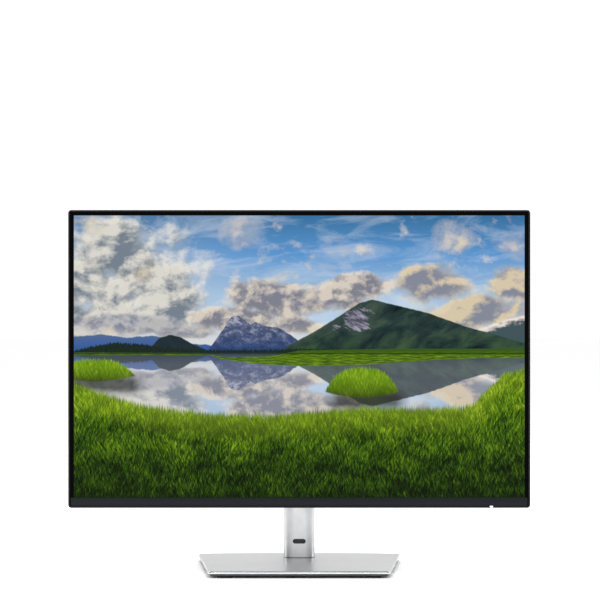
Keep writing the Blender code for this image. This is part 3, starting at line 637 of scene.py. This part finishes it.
grain_group.links.new(scaled.outputs[0], grain_out.inputs["Color"])
rough_value = (grain_in["Roughness"] + (slow - 0.5) * 0.10 + (fine_value - 0.5) * 0.12).clamped()
grain_group.links.new(rough_value.socket, grain_out.inputs["Roughness"])
grain_group.links.new(fine_value.socket, grain_out.inputs["Height"])
print("grain:", len(grain_group.nodes), "nodes")

# %% [markdown]
# ## Painted edge highlight
# Outward edges are painted a lighter colour, a painted highlight along them. Pointiness finds them, and
# noise breaks them up.

# %% Painted edge highlight group
edge_highlight_group, edge_highlight_in, edge_highlight_out = group_tree(
    "edge_highlight",
    [("Color", "NodeSocketColor", (0.02, 0.02, 0.02, 1)), ("Worn", "NodeSocketColor", (0.1, 0.1, 0.1, 1)),
     ("Amount", "NodeSocketFloat", 0.5)],
    [("Color", "NodeSocketColor")],
)
shape = edge_highlight_group.nodes.new("ShaderNodeNewGeometry")
whole, _ = object_place(edge_highlight_group)
patch = noise(edge_highlight_group, whole, 90.0, 4.0)
# convex edges take a lighter colour here: a painted highlight, not wear
edge = step(Field(edge_highlight_group, shape.outputs["Pointiness"]) + (patch - 0.5) * 0.05, 0.505, 0.56)
edge_highlight_group.links.new(mix(edge_highlight_group, edge * edge_highlight_in["Amount"], edge_highlight_in["Color"],
                         edge_highlight_in["Worn"]).socket, edge_highlight_out.inputs["Color"])
print("wear:", len(edge_highlight_group.nodes), "nodes")

# %% [markdown]
# ## The materials
# Each finish is a Principled shader whose colour, roughness and bump come from the groups above; its colour
# also carries a painted highlight along convex edges.
# The numbers that are the same all over a surface are set on the shader itself.

# %% Material helper


def finish(name, colour, roughness, metallic=0.0, highlight_colour=None, highlight_amount=0.3, scale=1500.0, variation=0.12,
           bump=0.00002, specular=0.5):
    made = bpy.data.materials.new(name)
    made.use_nodes = True
    tree = made.node_tree
    shader = tree.nodes["Principled BSDF"]
    grain = use_group(tree, grain_group, Color=colour, Scale=scale, Variation=variation,
                      Roughness=roughness)
    # the lighter colour given to convex edges is a painted highlight
    edge_highlight_colour = highlight_colour or tuple(min(1.0, c * 2.2 + 0.01) for c in colour[:3]) + (1.0,)
    coloured = use_group(tree, edge_highlight_group, Color=grain["Color"], Worn=edge_highlight_colour, Amount=highlight_amount)
    tree.links.new(coloured["Color"].socket, shader.inputs["Base Color"])
    tree.links.new(grain["Roughness"].socket, shader.inputs["Roughness"])
    raised = tree.nodes.new("ShaderNodeBump")
    raised.inputs["Strength"].default_value = 0.6
    raised.inputs["Distance"].default_value = bump
    tree.links.new(grain["Height"].socket, raised.inputs["Height"])
    tree.links.new(raised.outputs["Normal"], shader.inputs["Normal"])
    shader.inputs["Metallic"].default_value = metallic
    shader.inputs["Specular IOR Level"].default_value = specular
    return made


rim_black = finish("rim_black", srgb("0c0d11"), 0.42, highlight_amount=0.15, specular=0.2, scale=2600, bump=0.00001)
chin_black = finish("chin_black", srgb("15161b"), 0.45, highlight_amount=0.1, specular=0.18, scale=3000, bump=0.00001)
rear_black = finish("rear_black", srgb("1d1e20"), 0.55, scale=900, bump=0.00005, variation=0.2)
key_black = finish("key_black", srgb("202124"), 0.38, scale=2400)
# the near-white edge colour of the silver finishes is a painted highlight
satin_silver = finish("satin_silver", srgb("c2c3c6"), 0.30, 1.0, highlight_colour=srgb("f2f2f2"), highlight_amount=0.5,
                      scale=3200, variation=0.05, bump=0.000006)
base_silver = finish("base_silver", srgb("d8d9da"), 0.30, 1.0, highlight_colour=srgb("f6f6f6"), highlight_amount=0.5,
                     scale=3200, variation=0.04, bump=0.000006)
polished_edge = finish("polished_edge", srgb("f4f4f5"), 0.12, 1.0, highlight_amount=0.1, scale=800,
                       variation=0.02, bump=0.000001)
black_steel = finish("black_steel", srgb("35363b"), 0.48, 0.0, scale=1200, bump=0.00003)
plated_steel = finish("plated_steel", srgb("b3b5b8"), 0.32, 1.0, highlight_colour=srgb("e6e6e8"), scale=700,
                      variation=0.12)
foot_rubber = finish("foot_rubber", srgb("1a1a1b"), 0.85, scale=1100, bump=0.00004, specular=0.3)
natural_nylon = finish("natural_nylon", srgb("d8d3c4"), 0.5, scale=800, specular=0.4)
cable_jacket = finish("cable_jacket", srgb("1b1b1d"), 0.6, scale=1300)
white_film = finish("white_film", srgb("eef0f2"), 0.5, scale=400, variation=0.04)
socket_tongue = finish("socket_tongue", srgb("101114"), 0.45, scale=1500)
gold_contact = finish("gold_contact", srgb("d9b25a"), 0.25, 1.0, scale=900)
print("plain finishes ready")

# %% [markdown]
# ## Boards and acrylic
# A circuit board is a green lacquer over copper: a brick pattern reads as parallel tracks. The
# power board's tracks are copper coloured. Clear acrylic, with a faint blue tint and fine dots that
# scatter the light, is the light guide; the light pipe glows white.

# %% Circuit board and acrylic


def circuit_board(name, lacquer, track):
    made = bpy.data.materials.new(name)
    made.use_nodes = True
    tree = made.node_tree
    shader = tree.nodes["Principled BSDF"]
    _, (x, y, z) = object_place(tree)
    lines = tree.nodes.new("ShaderNodeTexBrick")
    tree.links.new(point(tree, x, z).socket, lines.inputs["Vector"])
    lines.inputs["Scale"].default_value = 190.0
    lines.inputs["Color1"].default_value = lacquer
    lines.inputs["Color2"].default_value = tuple(c * 0.7 for c in lacquer[:3]) + (1,)
    lines.inputs["Mortar"].default_value = track
    lines.inputs["Mortar Size"].default_value = 0.03
    tree.links.new(lines.outputs["Color"], shader.inputs["Base Color"])
    ripple = noise(tree, point(tree, x, z), 300.0, 3.0)
    tree.links.new((ripple * 0.2 + 0.25).socket, shader.inputs["Roughness"])
    raised = tree.nodes.new("ShaderNodeBump")
    raised.inputs["Distance"].default_value = 0.00005
    tree.links.new(lines.outputs["Fac"], raised.inputs["Height"])
    tree.links.new(raised.outputs["Normal"], shader.inputs["Normal"])
    return made


green_board = circuit_board("green_board", srgb("0f5a2c"), srgb("3d9a5c"))
power_green = circuit_board("power_green", srgb("1c4a2a"), srgb("a8843c"))

clear_acrylic = bpy.data.materials.new("clear_acrylic")
clear_acrylic.use_nodes = True
acrylic_tree = clear_acrylic.node_tree
acrylic_shader = acrylic_tree.nodes["Principled BSDF"]
acrylic_shader.inputs["Transmission Weight"].default_value = 0.85
acrylic_shader.inputs["IOR"].default_value = 1.49
place, _ = object_place(acrylic_tree)
dots = noise(acrylic_tree, place, 900.0, 2.0)
acrylic_tree.links.new(mix(acrylic_tree, dots, srgb("e6f0f6"), srgb("ffffff")).socket,
                       acrylic_shader.inputs["Base Color"])
acrylic_tree.links.new((dots * 0.15 + 0.05).socket, acrylic_shader.inputs["Roughness"])

lamp_white = bpy.data.materials.new("lamp_white")
lamp_white.use_nodes = True
lamp_tree = lamp_white.node_tree
lamp_shader = lamp_tree.nodes["Principled BSDF"]
place, _ = object_place(lamp_tree)
glow_spots = noise(lamp_tree, place, 700.0, 2.0)
lamp_tree.links.new(mix(lamp_tree, glow_spots, srgb("ffffff"), srgb("e8f2ff")).socket,
                    lamp_shader.inputs["Emission Color"])
lamp_tree.links.new(mix(lamp_tree, glow_spots, srgb("f2f2f2"), srgb("ffffff")).socket,
                    lamp_shader.inputs["Base Color"])
lamp_shader.inputs["Emission Strength"].default_value = 1.6
print("boards and acrylic ready")

# %% [markdown]
# ## The lit screen
# The panel's front face is black glass with a matt anti-glare film, and the lit area is inset from
# its edge by a black border. The picture goes to Emission Color, inside a mask of the lit area, and
# everything else on the panel stays black.

# %% Screen material
LIT_WIDTH, LIT_HEIGHT = 518.4 * MM, 324.0 * MM
TOP_BORDER = 6.2 * MM
screen_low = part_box("lcd_panel")[0]
head_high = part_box("front_frame")[1]
lit_bottom = head_high.z - TOP_BORDER - LIT_HEIGHT

screen = bpy.data.materials.new("screen")
screen.use_nodes = True
tree = screen.node_tree
screen_shader = tree.nodes["Principled BSDF"]
place, (x, y, z) = object_place(tree)
across = (x + LIT_WIDTH / 2) / LIT_WIDTH
up = (z - lit_bottom) / LIT_HEIGHT
picture = use_group(tree, near, Across=across, Up=up)["Color"]
inside = step((across - 0.5).size(), 0.5003, 0.4997) * step((up - 0.5).size(), 0.5004, 0.4996)
front = step(y, screen_low.y + 0.0004, screen_low.y + 0.0001)
lit_picture = mix(tree, inside * front, (0, 0, 0, 1), picture)
tree.links.new(lit_picture.socket, screen_shader.inputs["Emission Color"])
screen_shader.inputs["Emission Strength"].default_value = 0.97
film = noise(tree, place, 2500.0, 2.0)
tree.links.new(mix(tree, film, srgb("010102"), srgb("020203")).socket,
               screen_shader.inputs["Base Color"])
tree.links.new((film * 0.2 + 0.34).socket, screen_shader.inputs["Roughness"])
screen_shader.inputs["Specular IOR Level"].default_value = 0.04
print("screen lit area:", LIT_WIDTH, "x", LIT_HEIGHT)

# %% [markdown]
# ## Finishing the pieces
# The frame's solids are true in size but have knife edges, and no moulded or pressed part does. So
# each visible solid gets a finer twin: its flat faces are merged back into whole faces, its edges
# are rounded by a fraction of a millimetre, and its curved walls are shaded smooth. The twin stands
# for the solid; sealed inner pieces keep the solid and only take a material.

# %% Finer twins
MERGE_WITHIN = 0.001 * MM
SAME_PLANE, ROUNDED_ABOVE = 1.0, 32  # degrees between two faces


def finer(node, look, edge=0.3, segments=2):
    """A copy of a solid with merged faces and rounded edges, which replaces it."""
    mesh = frame["nodes"][node].data.copy()
    shape = bmesh.new()
    shape.from_mesh(mesh)
    bmesh.ops.remove_doubles(shape, verts=shape.verts, dist=MERGE_WITHIN)
    bmesh.ops.dissolve_limit(shape, angle_limit=math.radians(SAME_PLANE), verts=shape.verts,
                             edges=shape.edges)
    for face in shape.faces:
        face.smooth = True
    shape.to_mesh(mesh)
    shape.free()
    mesh.materials.clear()
    mesh.materials.append(look)
    twin = new_object(f"{node}_fine", mesh)
    bevel = twin.modifiers.new("rounded_edges", "BEVEL")
    bevel.width = edge * MM
    bevel.segments = segments
    bevel.limit_method = "ANGLE"
    bevel.angle_limit = math.radians(ROUNDED_ABOVE)
    bevel.harden_normals = True
    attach(twin, body_of[node])
    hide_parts(node)
    return twin


body_of = {n: body for body, ns in frame["record"]["behaviour"]["bodies"].items() for n in ns}
FINE = {
    "front_frame": (rim_black, 0.45), "chin_trim": (chin_black, 0.2), "rear_cover": (rear_black, 0.5),
    "riser_badge": (key_black, 0.1), "riser_cap": (rear_black, 0.5), "cable_clip": (rear_black, 0.4),
    "hinge_cover": (rear_black, 0.3), "base_plate": (black_steel, 0.5), "mount_plate": (black_steel, 0.4),
    "tilt_yoke": (plated_steel, 0.4), "lift_carriage": (plated_steel, 0.4), "mast_rail": (plated_steel, 0.3),
    "video_ports": (plated_steel, 0.25), "usb_ports": (plated_steel, 0.25), "ac_inlet": (key_black, 0.3),
    "tilt_pin": (plated_steel, 0.3), "pivot_nut": (plated_steel, 0.2), "pivot_shaft": (plated_steel, 0.3),
}
for node, (look, edge) in FINE.items():
    finer(node, look, edge)
for i in range(1, 5):
    finer(f"mount_screw_{i}", plated_steel, 0.15, 1)
    finer(f"menu_button_{i}", key_black, 0.2, 2)
finer("power_button", key_black, 0.2, 2)
for node in body_of:
    if node.startswith("foot_"):
        finer(node, foot_rubber, 0.3)
KEPT = {
    "lcd_panel": screen, "optical_films": white_film, "light_guide": clear_acrylic,
    "led_bar": white_film, "panel_frame": rim_black, "panel_tray": plated_steel,
    "timing_board": green_board, "chassis_plate": plated_steel, "scaler_board": green_board,
    "power_board": power_green, "panel_cable": cable_jacket, "led_light_pipe": lamp_white,
    "button_board": green_board, "pivot_washer": natural_nylon, "tilt_spring": plated_steel,
    "carriage_shoe_left": natural_nylon, "carriage_shoe_right": natural_nylon,
    "spring_drum": plated_steel, "spring_band": plated_steel, "riser_core": black_steel,
    "mast_guide_left": natural_nylon, "mast_guide_right": natural_nylon,
    "swivel_shaft": plated_steel, "swivel_clip": plated_steel, "swivel_washer": natural_nylon,
}
for node, look in KEPT.items():
    mesh = frame["nodes"][node].data
    mesh.materials.clear()
    mesh.materials.append(look)
print("finished", len(FINE) + len(KEPT), "named pieces")

# %% [markdown]
# ## The silver base
# The base is a thin satin plate whose rim is cut at an angle and polished, so it shows as a bright
# line. A lofted outline gives that cut: the outline is drawn once and repeated at six heights, and
# all but the flat top takes the polished finish.

# %% Base plate
base_low, base_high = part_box("base_cover")
BASE_FRONT_HALF = 103.9 * MM
BASE_SIDE_BACK = 80.5 * MM
BASE_CORNER = 4.0 * MM
SIDE_LEAN = 6  # degrees that the corner arcs allow for the sides' slant
CORNER_STEPS, BACK_STEPS = 8, 32


def arc(x, y, radius, start, end, steps):
    turns = [math.radians(start + (end - start) * i / steps) for i in range(steps + 1)]
    return [(x + radius * math.cos(a), y + radius * math.sin(a)) for a in turns]


def base_outline(inset):
    """The base from above: a trapezium with round corners and a bowed back edge."""
    back_half, front = base_high.x - inset, base_low.y + inset
    slope = (base_high.x - BASE_FRONT_HALF) / (BASE_SIDE_BACK - base_low.y)
    front_half = BASE_FRONT_HALF + slope * inset - inset
    side_back, corner = BASE_SIDE_BACK - inset, BASE_CORNER
    bow = base_high.y - BASE_SIDE_BACK
    points = arc(front_half - corner, front + corner, corner, -90, SIDE_LEAN, CORNER_STEPS)
    points += arc(back_half - corner, side_back - corner, corner, SIDE_LEAN, 90 - SIDE_LEAN,
                  CORNER_STEPS)
    for i in range(1, BACK_STEPS):
        t = 1 - 2 * i / BACK_STEPS
        points.append((t * (back_half - corner), side_back + bow * (1 - t * t)))
    points += arc(corner - back_half, side_back - corner, corner, 90 + SIDE_LEAN, 180 - SIDE_LEAN,
                  CORNER_STEPS)
    points += arc(corner - front_half, front + corner, corner, 180 - SIDE_LEAN, 270, CORNER_STEPS)
    return points


def loft(name, layers, looks, look_of_band):
    """A closed skin through outlines; each layer is a height and its points, bottom to top."""
    shape = bmesh.new()
    rows = [[shape.verts.new((x, y, z)) for x, y in points] for z, points in layers]
    for band, (low, high) in enumerate(zip(rows, rows[1:])):
        for i in range(len(low)):
            j = (i + 1) % len(low)
            face = shape.faces.new((low[i], low[j], high[j], high[i]))
            face.material_index = look_of_band[band]
            face.smooth = True
    shape.faces.new(rows[0][::-1]).material_index = look_of_band[0]
    shape.faces.new(rows[-1]).material_index = look_of_band[-1]
    bmesh.ops.recalc_face_normals(shape, faces=shape.faces)
    mesh = bpy.data.meshes.new(name)
    shape.to_mesh(mesh)
    shape.free()
    for look in looks:
        mesh.materials.append(look)
    mesh.set_sharp_from_angle(angle=math.radians(25))
    return new_object(name, mesh)


z0, z1 = base_low.z, base_high.z
# each layer is a height, and the outline drawn in by some tenths of a millimetre, or not at all
base_top = loft(
    "base_top",
    [(z0, base_outline(0.7 * MM)), (z0 + 0.5 * MM, base_outline(0.1 * MM)),
     (z0 + 0.7 * MM, base_outline(0.0)), (z0 + 1.5 * MM, base_outline(0.0)),
     (z1 - 0.25 * MM, base_outline(1.5 * MM)), (z1, base_outline(1.9 * MM))],
    [base_silver, polished_edge], [1, 1, 1, 1, 1, 0],
)
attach(base_top, "base")
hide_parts("base_cover")
print("base top:", len(base_top.data.vertices), "vertices")

# %% [markdown]
# ## The riser's shells
# The riser's front is a folded sleeve, nearly flat with edges that turn back deeply. One curve
# formula, a superellipse, gives that section: a higher power is flatter and turns harder. The
# section is drawn once, stood up and thickened inwards, and the slot that the neck travels in is
# cut with a Boolean. The rear shell is a finer twin of its solid.

# %% Riser front
front_low, front_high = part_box("riser_front_shell")
WALL = 2.0 * MM
SLOT_HALF, SLOT_BOTTOM = 9.0 * MM, 130.0 * MM
SLOT_TOOL_DEPTH, SLOT_TOOL_HEIGHT = 30 * MM, 300 * MM
SECTION_DEPTH, SECTION_STEPS = 9.0 * MM, 40
SIDE_POWER, NOSE_POWER = 3.4, 2.6


def front_section():
    """The front shell's outer line: flat in the middle, and turning back deeply at both edges."""
    half, seam, nose = front_high.x, front_high.y, front_low.y
    points = [(half, seam)]
    for i in range(SECTION_STEPS + 1):
        turn = math.pi * i / SECTION_STEPS
        side, ahead = math.cos(turn), math.sin(turn)
        x = math.copysign(abs(side) ** (2 / SIDE_POWER), side) * half
        points.append((x, nose + SECTION_DEPTH * (1 - abs(ahead) ** (2 / NOSE_POWER))))
    return points + [(-half, seam)]


def sleeve(name, section, low, high, look):
    """An open section stood upright and thickened inwards."""
    shape = bmesh.new()
    heights = [low, low + 0.4 * MM, (low + high) / 2, high - 0.4 * MM, high]
    rows = [[shape.verts.new((x, y, z)) for x, y in section] for z in heights]
    for under, over in zip(rows, rows[1:]):
        for i in range(len(under) - 1):
            shape.faces.new((under[i], under[i + 1], over[i + 1], over[i])).smooth = True
    bmesh.ops.recalc_face_normals(shape, faces=shape.faces)
    mesh = bpy.data.meshes.new(name)
    shape.to_mesh(mesh)
    shape.free()
    mesh.materials.append(look)
    made = new_object(name, mesh)
    wall = made.modifiers.new("wall", "SOLIDIFY")
    wall.thickness = WALL
    wall.use_even_offset = True
    return made


riser_front = sleeve("riser_front", front_section(), front_low.z, front_high.z, satin_silver)
facing = sum(face.normal.y * face.area for face in riser_front.data.polygons)
riser_front.modifiers["wall"].offset = -1 if facing < 0 else 1
slot_tool = bmesh.new()
bmesh.ops.create_cube(slot_tool, size=1)
for vertex in slot_tool.verts:
    vertex.co = (vertex.co.x * 2 * SLOT_HALF, vertex.co.y * SLOT_TOOL_DEPTH + front_low.y,
                 SLOT_BOTTOM + (vertex.co.z + 0.5) * SLOT_TOOL_HEIGHT)
slot_mesh = bpy.data.meshes.new("slot_tool")
slot_tool.to_mesh(slot_mesh)
slot_tool.free()
slot_piece = new_object("slot_tool", slot_mesh)
slot_cut = riser_front.modifiers.new("slot", "BOOLEAN")
slot_cut.operation = "DIFFERENCE"
slot_cut.object = slot_piece


def bake_modifiers(piece):
    """Keeps what the modifiers make as the piece's own mesh."""
    graph = bpy.context.evaluated_depsgraph_get()
    done = bpy.data.meshes.new_from_object(piece.evaluated_get(graph))
    piece.modifiers.clear()
    piece.data = done


bpy.context.view_layer.update()
bake_modifiers(riser_front)
bpy.data.objects.remove(slot_piece)
riser_front.data.set_sharp_from_angle(angle=math.radians(40))
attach(riser_front, "riser")
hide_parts("riser_front_shell")
finer("riser_rear_shell", satin_silver, 0.3)
print("riser front:", len(riser_front.data.polygons), "faces")

# %% [markdown]
# ## Inside the ports
# A metal socket is only a mouth. What makes it a port is the thin tongue that stands in it, with
# its row of gilded contacts. Every tongue is a rounded slab, and its contacts are narrow raised
# strips, set out by a loop along the tongue's width. Both ride with the head.

# %% Port tongues
video_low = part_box("video_ports")[0]
usb_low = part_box("usb_ports")[0]
TONGUE_THICK, TONGUE_MARGIN, TONGUE_TIP = 1.3 * MM, 1.6 * MM, 2.6 * MM
SOCKET_DEPTH = 8.6 * MM
CONTACT_PITCH, CONTACT_HALF = 1.0 * MM, 0.25 * MM
# each socket's left and right edge from its block's left side, and its depth from the back
SOCKETS = (
    ("video_a", video_low, (5.0, 23.0), 27.25), ("video_b", video_low, (31.0, 46.0), 27.25),
    ("video_c", video_low, (54.0, 82.0), 27.2), ("usb_a", usb_low, (2.5, 16.0), 27.15),
    ("usb_b", usb_low, (21.0, 35.0), 27.2),
)


def slab(shape, low, high):
    """A box between two corners, added to a mesh that is being made."""
    made = bmesh.ops.create_cube(shape, size=1)
    for vertex in made["verts"]:
        vertex.co = Vector(a + (b - a) * (c + 0.5) for a, b, c in zip(low, high, vertex.co))


def slabs(name, boxes, look, edge):
    """Rounded slabs as one piece."""
    shape = bmesh.new()
    for low, high in boxes:
        slab(shape, low, high)
    for face in shape.faces:
        face.smooth = True
    mesh = bpy.data.meshes.new(name)
    shape.to_mesh(mesh)
    shape.free()
    mesh.materials.append(look)
    made = new_object(name, mesh)
    bevel = made.modifiers.new("rounded_edges", "BEVEL")
    bevel.width = edge
    bevel.segments = 2
    bevel.harden_normals = True
    return made


for name, block_low, (left, right), back in SOCKETS:
    x0, x1 = block_low.x + left * MM + TONGUE_MARGIN, block_low.x + right * MM - TONGUE_MARGIN
    y, z0 = -back * MM, block_low.z + TONGUE_TIP
    z1 = z0 + SOCKET_DEPTH
    tongue = slabs(f"{name}_tongue", [((x0, y, z0), (x1, y + TONGUE_THICK, z1))],
                   socket_tongue, 0.25 * MM)
    count = int((x1 - x0 - CONTACT_PITCH) / CONTACT_PITCH)
    start = (x0 + x1) / 2 - (count - 1) / 2 * CONTACT_PITCH
    middles = [start + i * CONTACT_PITCH for i in range(count)]
    strips = [((x - CONTACT_HALF, y - 0.12 * MM, z0 + 0.7 * MM),
               (x + CONTACT_HALF, y + 0.1 * MM, z1 - 0.5 * MM)) for x in middles]
    contacts = slabs(f"{name}_contacts", strips, gold_contact, 0.04 * MM)
    for piece, slot in ((tongue, "black_plastic"), (contacts, "plated_steel")):
        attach(piece, "display")
print("tongues in", len(SOCKETS), "sockets")

# %% [markdown]
# ## The release button
# Below the hinge, the mounting plate has a button that lets the head go from its stand. It is a
# pill-shaped key with three grip ridges. It turns with the head, so it has to pass under the yoke,
# and it stays lower than the yoke's face.

# %% Release button
plate_low, plate_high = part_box("mount_plate")
yoke_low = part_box("tilt_yoke")[0]
BUTTON_HALF_WIDTH, BUTTON_HALF_HEIGHT, BUTTON_RISE = 10 * MM, 4.5 * MM, 1.9 * MM
RIDGES, RIDGE_PITCH = 3, 2.2 * MM
button_z = (plate_low.z + yoke_low.z) / 2


def pill(half_width, half_height, steps=10):
    straight = half_width - half_height
    right = arc(straight, 0.0, half_height, -90, 90, steps)
    return right + arc(-straight, 0.0, half_height, 90, 270, steps)


def standing_loft(name, layers, look):
    """Closed outlines that face the back, each at its own depth."""
    shape = bmesh.new()
    rows = [[shape.verts.new((x, y, z + button_z)) for x, z in points] for y, points in layers]
    for near_row, far_row in zip(rows, rows[1:]):
        for i in range(len(near_row)):
            j = (i + 1) % len(near_row)
            shape.faces.new((near_row[i], near_row[j], far_row[j], far_row[i])).smooth = True
    shape.faces.new(rows[0])
    shape.faces.new(rows[-1])
    bmesh.ops.recalc_face_normals(shape, faces=shape.faces)
    mesh = bpy.data.meshes.new(name)
    shape.to_mesh(mesh)
    shape.free()
    mesh.materials.append(look)
    mesh.set_sharp_from_angle(angle=math.radians(40))
    return new_object(name, mesh)


top = plate_high.y + BUTTON_RISE
release = standing_loft("release_button", [
    (plate_high.y + 0.05 * MM, pill(BUTTON_HALF_WIDTH, BUTTON_HALF_HEIGHT)),
    (top - 0.5 * MM, pill(BUTTON_HALF_WIDTH, BUTTON_HALF_HEIGHT)),
    (top - 0.15 * MM, pill(BUTTON_HALF_WIDTH - 0.2 * MM, BUTTON_HALF_HEIGHT - 0.2 * MM)),
    (top, pill(BUTTON_HALF_WIDTH - 0.6 * MM, BUTTON_HALF_HEIGHT - 0.6 * MM)),
], key_black)
ridge_heights = [(i - (RIDGES - 1) / 2) * RIDGE_PITCH + button_z for i in range(RIDGES)]
ridges = slabs("release_ridges", [
    ((-4 * MM, top - 0.1 * MM, z - 0.35 * MM), (4 * MM, top + 0.3 * MM, z + 0.35 * MM))
    for z in ridge_heights], key_black, 0.15 * MM)
for piece in (release, ridges):
    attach(piece, "display")
print("release button at", round(button_z, 4))

# %% [markdown]
# ## Sizes
# The looks are not meant to make the object bigger, so its box is measured again and printed.

# %% Sizes
low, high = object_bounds()
print("size", [round(b - a, 4) for a, b in zip(low, high)])
